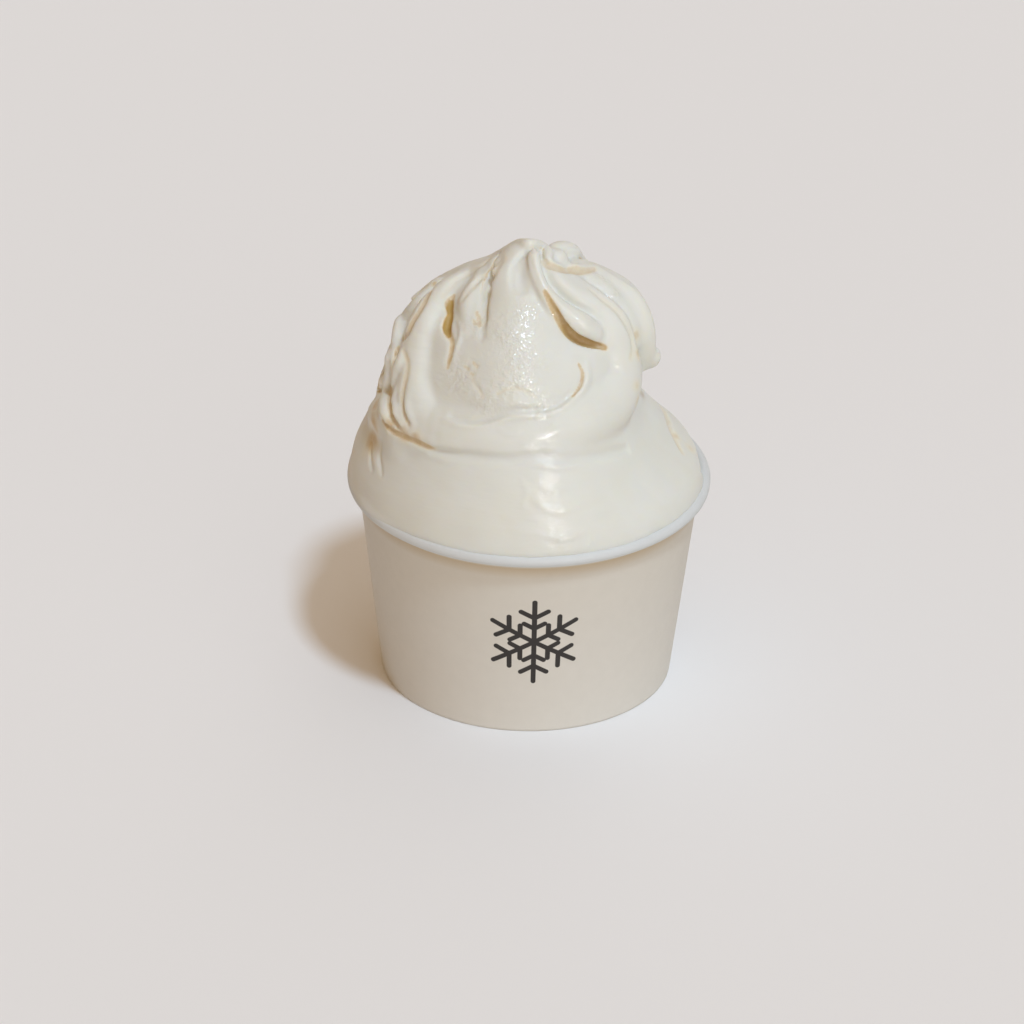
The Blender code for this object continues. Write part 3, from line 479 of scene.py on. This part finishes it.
def waves(points, size, seed):
    """Smooth hills and hollows of this size, the same in every run, with a spread of 1."""
    chance = np.random.default_rng(seed)
    course = chance.normal(size=(3, WAVE_COUNT))
    course *= 2 * math.pi / size * chance.uniform(*WAVE_RANGE, WAVE_COUNT) / np.linalg.norm(course, axis=0)
    starts = chance.uniform(0, 2 * math.pi, WAVE_COUNT)
    return np.sin(points @ course + starts).sum(axis=1) * math.sqrt(2 / WAVE_COUNT)


def mound_distance(points):
    """Distance outside the plain mound."""
    x, y, z = points.T
    rows = curve_through(MOUND)
    height = z - CUP_HEIGHT
    x = x + MOUND_LEAN * height
    left, right, front, back = (np.interp(height, rows[:, 0], rows[:, side]) for side in (1, 2, 3, 4))
    turn = np.arctan2(y, x)
    reach = np.where(x < 0, left, right) * np.cos(turn)**2 + np.where(y < 0, front, back) * np.sin(turn)**2
    return np.maximum((np.hypot(x, y) - reach) * MOUND_STEEPNESS, -height - MOUND_FOOT)


def sight_axes(azimuth, tilt=SIGHT_TILT, roll=0.0):
    """The viewer's right and up, and the direction from the heap to the eye."""
    turn, tilt, roll = (math.radians(angle) for angle in (azimuth, tilt, roll))
    right = np.array((math.cos(turn), math.sin(turn), 0))
    eye = np.array((math.sin(turn) * math.cos(tilt), -math.cos(turn) * math.cos(tilt), math.sin(tilt)))
    up = np.cross(eye, right)
    return math.cos(roll) * right + math.sin(roll) * up, math.cos(roll) * up - math.sin(roll) * right, eye


def dropped(azimuth, points, distance):
    """Where the points meet the surface along the viewer's line of sight, in front with perspective."""
    right, up, eye = sight_axes(azimuth, roll=VIEW_ROLL if azimuth == FRONT else 0)
    depths = np.arange(SIGHT_REACH, -SIGHT_REACH, -SIGHT_STEP)[:, None]
    start = np.array(VIEW_TARGET if azimuth == FRONT else (0, 0, CUP_HEIGHT))
    middle = start - (0, 0, CUP_HEIGHT)
    nearness = 1 - depths / VIEW_DISTANCE if azimuth == FRONT else 1
    met = []
    for across, rise, *_ in points:
        beside = (across - middle @ right) * right + (rise - middle @ up) * up
        sight = start + nearness * beside + depths * eye
        away = distance(sight)
        met.append(sight[np.argmax(away < 0) if (away < 0).any() else np.argmin(away)])
    return np.array(met)


def laid(azimuth, points, distance):
    """The fold's smooth course: its points are dropped on the surface, then lifted towards the eye."""
    points = np.array(points, float)
    eye = sight_axes(azimuth)[2]
    course = dropped(azimuth, points, distance) + points[:, 2:3] * eye
    return curve_through(np.hstack((course, points[:, 3:4])))


def rope_distance(rope, points):
    """Distance to a rope through the points, whose last column is its radius there."""
    nearest = np.full(len(points), np.inf)
    for start, end in zip(rope, rope[1:]):
        along = end[:3] - start[:3]
        away = points - start[:3]
        share = np.clip(away @ along / max(along @ along, 1e-9), 0, 1)
        gap = np.linalg.norm(away - share[:, None] * along, axis=1) - start[3] - share * (end[3] - start[3])
        nearest = np.minimum(nearest, gap)
    return nearest


def joined(a, b, melt):
    """The union of two shapes, with the corner between them filled over the melt distance."""
    share = np.clip(0.5 + 0.5 * (b - a) / melt, 0, 1)
    return b * (1 - share) + a * share - melt * share * (1 - share)


def changed(field, points, ropes):
    """The field with each rope added to the solid (+1) or cut out of it (-1)."""
    for sign, melt, rope in ropes:
        reach = rope[:, 3].max() + 2 * melt
        low, high = rope[:, :3].min(axis=0) - reach, rope[:, :3].max(axis=0) + reach
        near = ((points > low) & (points < high)).all(axis=1)
        if near.any():
            field[near] = sign * joined(sign * field[near], rope_distance(rope, points[near]), melt)
    return field


def ropes_of(folds, grooves, distance):
    """Ropes on this surface: +1 and how softly each fold melts in, and -1 with the same for each groove."""
    return [(sign, melt, laid(side, points, distance))
            for sign, table in ((1, folds), (-1, grooves)) for side, melt, points in table.values()]


def round_rope(rows):
    """A rope round the axis, from its (turn, radius, height, thickness) rows."""
    rows = np.array(rows, float)
    turns = np.radians(rows[:, 0])
    return curve_through(np.column_stack((rows[:, 1] * np.cos(turns), rows[:, 1] * np.sin(turns),
                                          rows[:, 2], rows[:, 3])))


def patch_share(points, patches):
    """From 0 outside the patches to 1 in the middle of one."""
    share = np.zeros(len(points))
    for middle, width in patches:
        away = np.linalg.norm(points - middle, axis=1) / width
        share = np.maximum(share, np.exp(-away**2 * PATCH_FADE))
    return share


def inner_radius(z):
    """The radius of the cup's inside at a height."""
    return BASE_RADIUS + (WALL_TOP_RADIUS - BASE_RADIUS) * z / BEAD_MIDDLE[1] - PAPER


def gelato_distance(points, heap, fine, patches):
    """Below zero inside the gelato, which sinks a little into the bead so that no gap shows."""
    field = changed(heap(points), points, fine)
    froth = patch_share(points, patches)
    field += sum(far * waves(points, size, RIPPLE_SEED + number)
                 for number, (size, far) in enumerate(RIPPLES))
    field += froth * sum(far * waves(points, size, FROTH_SEED + number)
                         for number, (size, far) in enumerate(FROTH_RIPPLES))
    field = changed(field, points, [(-1, INSIDE_RIM_MELT, round_rope(INSIDE_RIM))])
    across, z = np.hypot(points[:, 0], points[:, 1]), points[:, 2]
    filling = np.maximum(across - inner_radius(z), z - BEAD_MIDDLE[1])
    field = np.where(z < BEAD_MIDDLE[1], filling, np.minimum(field, filling))
    bead = np.hypot(across - BEAD_MIDDLE[0], z - BEAD_MIDDLE[1]) - BEAD_RADIUS
    field = np.maximum(field, -bead - BEAD_SINK)
    return changed(field, points, [(1, OVER_RIM_MELT, round_rope(OVER_RIM))])


def grid_points(lines):
    return np.stack(np.meshgrid(*lines, indexing="ij"), axis=-1).reshape(-1, 3)


def near_field(grid, distance):
    """The distance at each grid point near the surface. Further off it is rough, with the right sign."""
    middles = [line[BLOCK // 2::BLOCK] for line in grid]
    field = distance(grid_points(middles)).reshape([len(line) for line in middles])
    for axis in range(3):
        field = field.repeat(BLOCK, axis=axis)
    near = abs(field) < BLOCK_REACH
    places = np.stack([line[index] for line, index in zip(grid, np.nonzero(near))], axis=1)
    field[near] = distance(places)
    return field


def crossing_points(field, grid, cells):
    """One point in each cell, the mean of where the surface cuts the cell's edges."""
    total, hits = np.zeros((len(cells), 3)), np.zeros((len(cells), 1))
    for axis in range(3):
        step = np.eye(3, dtype=int)[axis]
        for corner in itertools.product((0, 1), repeat=3):
            if corner[axis]:
                continue
            near = cells + corner
            far = near + step
            a, b = field[tuple(near.T)], field[tuple(far.T)]
            cut = (a < 0) != (b < 0)
            t = np.where(cut, a / np.where(cut, a - b, 1), 0)
            start = np.stack([line[index] for line, index in zip(grid, near.T)], axis=1)
            start[:, axis] += t * (grid[axis][far[:, axis]] - start[:, axis])
            total += start * cut[:, None]
            hits += cut[:, None]
    return total / hits


def surface_of(field, grid):
    """The points and four-sided faces of the surface where the field passes zero."""
    inside = field < 0
    ends = [(slice(None, -1), slice(1, None))[bit] for bit in (0, 1)]
    filled = sum(inside[ends[i], ends[j], ends[k]].astype(int)
                 for i, j, k in itertools.product((0, 1), repeat=3))
    crossed = (filled > 0) & (filled < 8)
    cells = np.argwhere(crossed)
    number = np.zeros(crossed.shape, int)
    number[crossed] = np.arange(len(cells))
    faces = []
    for axis in range(3):
        step, side, other = np.roll(np.eye(3, dtype=int), -axis, axis=0)
        changes = np.diff(inside.astype(int), axis=axis)
        for turned_out, order in ((-1, 1), (1, -1)):
            at = np.argwhere(changes == turned_out)
            at = at[((at - side - other) >= 0).all(axis=1) & (at < crossed.shape).all(axis=1)]
            ring = (at - side - other, at - other, at, at - side)[::order]
            faces.append(np.stack([number[tuple(corner.T)] for corner in ring], axis=1))
    return crossing_points(field, grid, cells), np.vstack(faces)


def main_piece(points, faces):
    """The largest connected surface alone, without loose scraps and sealed bubbles."""
    piece = np.arange(len(points))
    while True:
        lowest = piece.copy()
        for corner, following in zip(faces.T, np.roll(faces, -1, axis=1).T):
            np.minimum.at(lowest, corner, piece[following])
            np.minimum.at(lowest, following, piece[corner])
        lowest = lowest[lowest]
        if (lowest == piece).all():
            break
        piece = lowest
    kept = piece == np.bincount(piece).argmax()
    renumbered = np.cumsum(kept) - 1
    return points[kept], renumbered[faces[kept[faces[:, 0]]]]


def close_in_cup(mesh):
    """Smooths the heap's sheet, then carries its open edge down inside the cup and closes it."""
    form = bmesh.new()
    form.from_mesh(mesh)
    for _ in range(SMOOTHING_ROUNDS):
        inner = [vert for vert in form.verts if not vert.is_boundary]
        bmesh.ops.smooth_vert(form, verts=inner, factor=SMOOTHING_FACTOR, use_axis_x=True, use_axis_y=True,
                              use_axis_z=True)
    edge = [edge for edge in form.edges if edge.is_boundary]
    made = bmesh.ops.extrude_edge_only(form, edges=edge)["geom"]
    for vert in (item for item in made if isinstance(item, bmesh.types.BMVert)):
        turn = math.atan2(vert.co.y, vert.co.x)
        reach = inner_radius(GELATO_BOTTOM) * MM
        vert.co = (reach * math.cos(turn), reach * math.sin(turn), GELATO_BOTTOM * MM)
    bmesh.ops.holes_fill(form, edges=[item for item in made if isinstance(item, bmesh.types.BMEdge)])
    bmesh.ops.recalc_face_normals(form, faces=form.faces)
    form.to_mesh(mesh)
    form.free()


def crevice_depth(places, normals, distance):
    """From 0 in the open to 1 deep in a crevice, by how near other gelato is in front of the surface."""
    depth = sum(np.clip(MOUND_STEEPNESS - distance(places + step * normals) / step, 0, CREVICE_LIMIT)
                for step in CREVICE_STEPS)
    return np.clip(CREVICE_GAIN * depth / len(CREVICE_STEPS) - CREVICE_LOSS, 0, 1)


def seen_patches(heap, rows):
    """Patches on the heap, from (across, up, width, ...) rows as seen from the front."""
    return [(dropped(FRONT, [row], heap)[0], *row[2:]) for row in rows]


def groove_and_patch_shade(places, heap, fine):
    """How strong the painted golden shade is, along the fine grooves and in the painted shade patches."""
    grooves = dict(zip(FINE_GROOVES, (rope for _, _, rope in fine[len(FINE_FOLDS):])))
    share = np.zeros(len(places))
    for name, (amount, reach) in GROOVE_SHADE.items():
        beside = np.maximum(rope_distance(grooves[name], places), 0) / reach
        share = np.maximum(share, amount * np.exp(-PATCH_FADE * beside**2))
    for middle, width, amount in seen_patches(heap, SHADE_PATCHES):
        share = np.maximum(share, amount * patch_share(places, [(middle, width)]))
    return share


def add_object(name, mesh, materials):
    mesh.shade_smooth()
    for material in materials:
        mesh.materials.append(material)
    thing = bpy.data.objects.new(name, mesh)
    bpy.context.scene.collection.objects.link(thing)
    return thing


def add_share(mesh, name, values):
    """Keeps one number from 0 to 1 at each of the mesh's points, for the material to read."""
    mesh.attributes.new(name, "FLOAT", "POINT").data.foreach_set("value", values.astype(np.float32))


def add_gelato():
    ropes = ropes_of(FOLDS, GROOVES, mound_distance)

    def heap(points):
        return changed(mound_distance(points), points, ropes)

    fine = ropes_of(FINE_FOLDS, FINE_GROOVES, heap)
    frothy, wet, unshaded = (seen_patches(heap, rows) for rows in (FROTH, WET, UNSHADED_PLACES))

    def distance(points):
        return gelato_distance(points, heap, fine, frothy)

    count = BLOCK * math.ceil((2 * RIM_RADIUS + SHEET_MARGIN) / VOXEL / BLOCK)
    side = (np.arange(count) - (count - 1) / 2) * VOXEL
    rise = SHEET_BOTTOM + np.arange(BLOCK * math.ceil((SHEET_TOP - SHEET_BOTTOM) / VOXEL / BLOCK)) * VOXEL
    grid = (side, side, rise)
    points, faces = main_piece(*surface_of(near_field(grid, distance), grid))
    mesh = bpy.data.meshes.new("gelato heap")
    mesh.from_pydata((points * MM).tolist(), [], faces.tolist())
    close_in_cup(mesh)
    places, normals = (np.empty(3 * len(mesh.vertices), np.float32) for _ in range(2))
    mesh.vertices.foreach_get("co", places)
    mesh.vertex_normals.foreach_get("vector", normals)
    places = places.reshape(-1, 3) / MM
    # Painted shade: the crevice share turns the gelato golden where it is hidden, along the grooves and in
    # the patches
    depth = crevice_depth(places, normals.reshape(-1, 3), distance)
    depth *= 1 - np.clip(UNSHADED_GAIN * patch_share(places, unshaded), 0, 1)
    add_share(mesh, "crevice", np.maximum(depth, groove_and_patch_shade(places, heap, fine)))
    add_share(mesh, "froth", patch_share(places, frothy))
    add_share(mesh, "wet", patch_share(places, wet))
    gelato = add_object("gelato_heap", mesh, [gelato_material()])
    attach(gelato, "root")
    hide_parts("gelato")


def seam_lift(turn):
    """How far the wall stands out at this turn, where its end laps over its start."""
    behind = turn - SEAM_TURN
    return SEAM_STEP * (1 - behind / SEAM_WIDTH) if 0 <= behind < SEAM_WIDTH else 0.0


def wall_section(lift):
    """The wall as (radius, height) points from under the bead's inside, over it and down to the hem."""
    slope = (WALL_TOP_RADIUS - BASE_RADIUS) / BEAD_MIDDLE[1]
    turns = [math.radians(180 - step * BEAD_SWEEP / BEAD_STEPS) for step in range(BEAD_STEPS + 1)]
    reach = BEAD_RADIUS + SEAM_SHARE_ON_BEAD * lift
    bead = [(BEAD_MIDDLE[0] + reach * math.cos(turn), BEAD_MIDDLE[1] + reach * math.sin(turn))
            for turn in turns]
    wall = [(BASE_RADIUS + slope * height + lift, height) for height in WALL_HEIGHTS]
    slot_outer = BASE_RADIUS - PAPER
    slot_inner = slot_outer - HEM_SLOT
    hem = [(BASE_RADIUS - FOOT_ROUNDING + lift, 0), (slot_inner - PAPER, 0),
           (slot_inner - PAPER, HEM_HEIGHT), (slot_inner, HEM_HEIGHT), (slot_inner, PAPER),
           (slot_outer + slope * PAPER, PAPER)]
    return bead + wall + hem


def add_wall():
    turns = sorted([2 * math.pi * step / WALL_STEPS for step in range(WALL_STEPS)]
                   + [SEAM_TURN - SEAM_EDGE, SEAM_TURN])
    sections = [wall_section(seam_lift(turn)) for turn in turns]
    points = [(radius * math.cos(turn) * MM, radius * math.sin(turn) * MM, height * MM)
              for turn, section in zip(turns, sections) for radius, height in section]
    length, around = len(sections[0]), len(turns)
    faces = [(a * length + k, b * length + k, b * length + (k + 1) % length, a * length + (k + 1) % length)
             for a in range(around) for b in ((a + 1) % around,) for k in range(length)]
    mesh = bpy.data.meshes.new("paper wall")
    mesh.from_pydata(points, [], faces)
    wall = add_object("paper_wall", mesh, [paper_material("cream paper", PAPER_COLOR, printed=True),
                                           paper_material("white paper", WHITE_COLOR)])
    for face in mesh.polygons:
        face.material_index = 1 if face.index % length in range(BEAD_STEPS) else 0
    form = bmesh.new()
    form.from_mesh(mesh)
    bmesh.ops.recalc_face_normals(form, faces=form.faces)
    form.to_mesh(mesh)
    form.free()
    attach(wall, "root")
    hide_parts("cup_wall")


def new_material(name):
    """A material with its nodes and its shader."""
    material = bpy.data.materials.new(name)
    material.use_nodes = True
    tree = material.node_tree
    return material, tree, tree.nodes["Principled BSDF"]


def connect(tree, value, socket):
    """Links the socket to the value if that is a socket too, and otherwise sets it."""
    if isinstance(value, bpy.types.NodeSocket):
        tree.links.new(value, socket)
    else:
        socket.default_value = value


def set_inputs(tree, node, **inputs):
    """Puts values or links on the node's sockets, whose names are written with _ for a space."""
    for name, value in inputs.items():
        connect(tree, value, node.inputs[name.replace("_", " ")])
    return node


def add_node(tree, kind, **inputs):
    return set_inputs(tree, tree.nodes.new(kind), **inputs)


def noise(tree, place, name):
    """Procedural noise of this name, where sizes are in millimetres."""
    size, detail, roughness = NOISE[name]
    return add_node(tree, "ShaderNodeTexNoise", Vector=place, Scale=1 / (size * MM), Detail=detail,
                    Roughness=roughness).outputs["Fac"]


def ramp(tree, value, *stops):
    """Colours along a value, from (position, (red, green, blue)) stops."""
    node = add_node(tree, "ShaderNodeValToRGB", Fac=value)
    elements = node.color_ramp.elements
    while len(elements) < len(stops):
        elements.new(1.0)
    for element, (position, color) in zip(elements, stops):
        element.position = position
        element.color = (*color, 1)
    return node.outputs["Color"]


def levels(tree, place, name):
    """Noise of this name turned into its levels."""
    stops = ((position, (level,) * 3) for position, level in LEVELS[name])
    return ramp(tree, noise(tree, place, name), *stops)


def calculated(tree, operation, a, b=0.0):
    node = tree.nodes.new("ShaderNodeMath")
    node.operation = operation
    for socket, value in zip(node.inputs, (a, b)):
        connect(tree, value, socket)
    return node.outputs[0]


def product(tree, *values):
    """The values multiplied with each other."""
    result, *others = values
    for value in others:
        result = calculated(tree, "MULTIPLY", result, value)
    return result


def mixed(tree, share, a, b, way="MIX"):
    node = tree.nodes.new("ShaderNodeMix")
    node.data_type = "RGBA"
    node.blend_type = way
    sockets = {socket.identifier: socket for socket in (*node.inputs, *node.outputs)}
    for name, value in (("Factor_Float", share), ("A_Color", a), ("B_Color", b)):
        connect(tree, (*value, 1) if isinstance(value, tuple) else value, sockets[name])
    return sockets["Result_Color"]


def bump(tree, height, name, before=None):
    """A bump of this name, on top of the one before."""
    distance, strength = BUMPS[name]
    node = add_node(tree, "ShaderNodeBump", Height=height, Distance=distance * MM, Strength=strength)
    if before:
        connect(tree, before, node.inputs["Normal"])
    return node.outputs["Normal"]


def share_at_point(tree, name):
    """The number kept under this name at each of the mesh's points."""
    node = tree.nodes.new("ShaderNodeAttribute")
    node.attribute_name = name
    return node.outputs["Fac"]


def gelato_color(tree, place, crevice):
    """Cream white with painted golden shade in the crevices, a little clouded."""
    tone = calculated(tree, "SUBTRACT", noise(tree, place, "tone"), 0.5)
    # The crevice share paints golden shade into the gelato's colour
    depth = calculated(tree, "ADD", product(tree, crevice, levels(tree, place, "uneven crevice")),
                       product(tree, tone, TONE_SHARE))
    return mixed(tree, levels(tree, place, "clouds"), ramp(tree, depth, *CREAM_AND_CREVICE_SHADE), CLOUD_COLOR, "MULTIPLY")


def gelato_relief(tree, place, flat, froth, wet):
    """Fine grain and froth for the gelato, and waves and froth for its wet coat."""
    soft = bump(tree, noise(tree, flat, "soft"), "soft")
    grain = bump(tree, noise(tree, place, "grain"), "grain", soft)
    bubbles = add_node(tree, "ShaderNodeTexVoronoi", Vector=place, Scale=1 / (BUBBLE_SIZE * MM))
    frothy = product(tree, bubbles.outputs["Distance"], froth, levels(tree, place, "froth"))
    lumps = bump(tree, product(tree, noise(tree, place, "lumps"), froth), "lumps", grain)
    wavy = bump(tree, product(tree, noise(tree, flat, "waves"), wet), "waves of the coat", soft)
    return bump(tree, frothy, "froth", lumps), bump(tree, frothy, "froth of the coat", wavy)


def gelato_material():
    """Soft white gelato with a wet film in places and painted golden shade in its crevices."""
    material, tree, shader = new_material("white gelato")
    place = tree.nodes.new("ShaderNodeTexCoord").outputs["Object"]
    flat = add_node(tree, "ShaderNodeMapping", Vector=place, Scale=FLAT_SCALE).outputs["Vector"]
    crevice, froth, wet = (share_at_point(tree, name) for name in ("crevice", "froth", "wet"))
    moist = calculated(tree, "ADD", wet, product(tree, froth, COAT_ON_FROTH))
    coat = calculated(tree, "ADD", product(tree, moist, levels(tree, flat, "film")), LEAST_COAT)
    normal, coat_normal = gelato_relief(tree, place, flat, froth, wet)
    set_inputs(tree, shader, Base_Color=gelato_color(tree, place, crevice),
               Roughness=levels(tree, place, "gelato sheen"), Subsurface_Weight=SUBSURFACE_WEIGHT,
               Subsurface_Radius=SUBSURFACE_RADIUS, Subsurface_Scale=SUBSURFACE_DEPTH * MM,
               Coat_Weight=coat, Coat_Roughness=COAT_ROUGHNESS, Normal=normal, Coat_Normal=coat_normal)
    return material


def hypotenuse(tree, a, b):
    return calculated(tree, "SQRT", calculated(tree, "ADD", product(tree, a, a), product(tree, b, b)))


def bar(tree, along, off, start, turn, length):
    """Distance to a straight bar that leaves the arm at its start, at this turn from the arm."""
    turn = math.radians(turn)
    ahead = calculated(tree, "SUBTRACT", along, start * MM)
    reach = calculated(tree, "ADD", product(tree, ahead, math.cos(turn)), product(tree, off, math.sin(turn)))
    reach = calculated(tree, "MINIMUM", calculated(tree, "MAXIMUM", reach, 0.0), length * MM)
    return hypotenuse(tree, calculated(tree, "SUBTRACT", ahead, product(tree, reach, math.cos(turn))),
                      calculated(tree, "SUBTRACT", off, product(tree, reach, math.sin(turn))))


def snowflake(tree, place):
    """1 on a printed six-armed snowflake on the wall's front, and 0 beside it."""
    axes = add_node(tree, "ShaderNodeSeparateXYZ", Vector=place).outputs
    turn = calculated(tree, "ARCTAN2", axes["X"], product(tree, axes["Y"], -1.0))
    across = calculated(tree, "SUBTRACT", product(tree, turn, FLAKE_WALL_RADIUS * MM), FLAKE_MIDDLE[0] * MM)
    up = calculated(tree, "SUBTRACT", axes["Z"], FLAKE_MIDDLE[1] * MM)
    away = hypotenuse(tree, across, up)
    round_flake = calculated(tree, "ADD", calculated(tree, "ARCTAN2", across, up), 2 * math.pi + math.pi / 6)
    in_sixth = calculated(tree, "MODULO", round_flake, math.pi / 3)
    sixth = calculated(tree, "ABSOLUTE", calculated(tree, "SUBTRACT", in_sixth, math.pi / 6))
    along = product(tree, away, calculated(tree, "COSINE", sixth))
    off = product(tree, away, calculated(tree, "SINE", sixth))
    nearest = bar(tree, along, off, 0.0, 0, FLAKE_ARM)
    for start, length in FLAKE_BRANCHES:
        branch = bar(tree, along, off, start, FLAKE_BRANCH_TURN, length)
        nearest = calculated(tree, "MINIMUM", nearest, branch)
    return ramp(tree, product(tree, nearest, 1 / (FLAKE_LINE * MM)), *FLAKE_EDGE)


def paper_material(name, color, printed=False):
    """Smooth uncoated board: faint mottling, short fibres, a soft sheen and painted shade by height."""
    material, tree, shader = new_material(name)
    place = tree.nodes.new("ShaderNodeTexCoord").outputs["Object"]
    darker, lighter = (tuple(share * part for part in color) for share in MOTTLE)
    mottled = mixed(tree, noise(tree, place, "mottle"), darker, lighter)
    height = add_node(tree, "ShaderNodeSeparateXYZ", Vector=place).outputs["Z"]
    # Painted shade: the paper darkens towards the top, with a painted shadow line under the bead
    shade = ramp(tree, product(tree, height, 1 / (CUP_HEIGHT * MM)), *PAPER_PAINTED_SHADE)
    toned = mixed(tree, 1.0, mottled, shade, "MULTIPLY")
    if printed:
        toned = mixed(tree, snowflake(tree, place), toned, FLAKE_COLOR)
    stretched = add_node(tree, "ShaderNodeMapping", Vector=place, Scale=FIBRE_SCALE).outputs["Vector"]
    fibres = bump(tree, noise(tree, stretched, "fibres"), "fibres")
    board = bump(tree, noise(tree, place, "board"), "board", fibres)
    set_inputs(tree, shader, Base_Color=toned, Roughness=levels(tree, place, "paper sheen"),
               Specular_IOR_Level=PAPER_GLOSS, Normal=board)
    return material


def dress_base():
    """The bottom disc keeps its CAD shape and gets the wall's paper."""
    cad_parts["cup_base"].data.materials[0] = paper_material("base paper", PAPER_COLOR)


def add_floor():
    half = FLOOR_SIZE / 2 * MM
    mesh = bpy.data.meshes.new("floor")
    mesh.from_pydata([(-half, -half, 0), (half, -half, 0), (half, half, 0), (-half, half, 0)], [],
                     [(0, 1, 2, 3)])
    material, tree, shader = new_material("pale table")
    set_inputs(tree, shader, Base_Color=(*FLOOR_COLOR, 1), Roughness=FLOOR_ROUGHNESS,
               Specular_IOR_Level=FLOOR_GLOSS)
    add_object("floor", mesh, [material])


def add_lamp(name, turn, tilt, color, strength, spread):
    """A far lamp that shines from this side."""
    lamp = bpy.data.lights.new(name, "SUN")
    lamp.energy, lamp.color, lamp.angle = strength, color, math.radians(spread)
    thing = bpy.data.objects.new(name, lamp)
    thing.rotation_euler = Vector(sight_axes(turn, tilt)[2]).to_track_quat("Z", "Y").to_euler()
    bpy.context.scene.collection.objects.link(thing)
    return thing


def add_light():
    """The sky, a key high at the right, a soft panel in front, and a small lamp for the coat's glints."""
    scene = bpy.context.scene
    scene.view_settings.view_transform = "Standard"
    scene.world = bpy.data.worlds.new("sky")
    scene.world.use_nodes = True
    tree = scene.world.node_tree
    place = tree.nodes.new("ShaderNodeTexCoord").outputs["Generated"]
    across = add_node(tree, "ShaderNodeSeparateXYZ", Vector=place).outputs["X"]
    share = calculated(tree, "ADD", product(tree, across, 0.5), 0.5)
    set_inputs(tree, tree.nodes["Background"], Color=ramp(tree, share, *SKY))
    add_lamp("key", *KEY)
    panel = add_lamp("panel", *PANEL)
    glint = add_lamp("glint", *GLINT)
    panel.data.use_shadow = glint.data.use_shadow = False
    glint.visible_diffuse = False


def add_camera():
    right, up, eye = (Vector(axis) for axis in sight_axes(FRONT, roll=VIEW_ROLL))
    lens = bpy.data.cameras.new("camera")
    lens.lens, lens.sensor_width, lens.clip_end = FOCAL_LENGTH, SENSOR, VIEW_REACH * MM
    camera = bpy.data.objects.new("camera", lens)
    place = Matrix((right, up, eye)).transposed().to_4x4()
    place.translation = (Vector(VIEW_TARGET) + VIEW_DISTANCE * eye) * MM
    camera.matrix_world = place
    bpy.context.scene.collection.objects.link(camera)
    bpy.context.scene.camera = camera


add_camera()
add_light()
add_floor()
add_wall()
dress_base()
add_gelato()
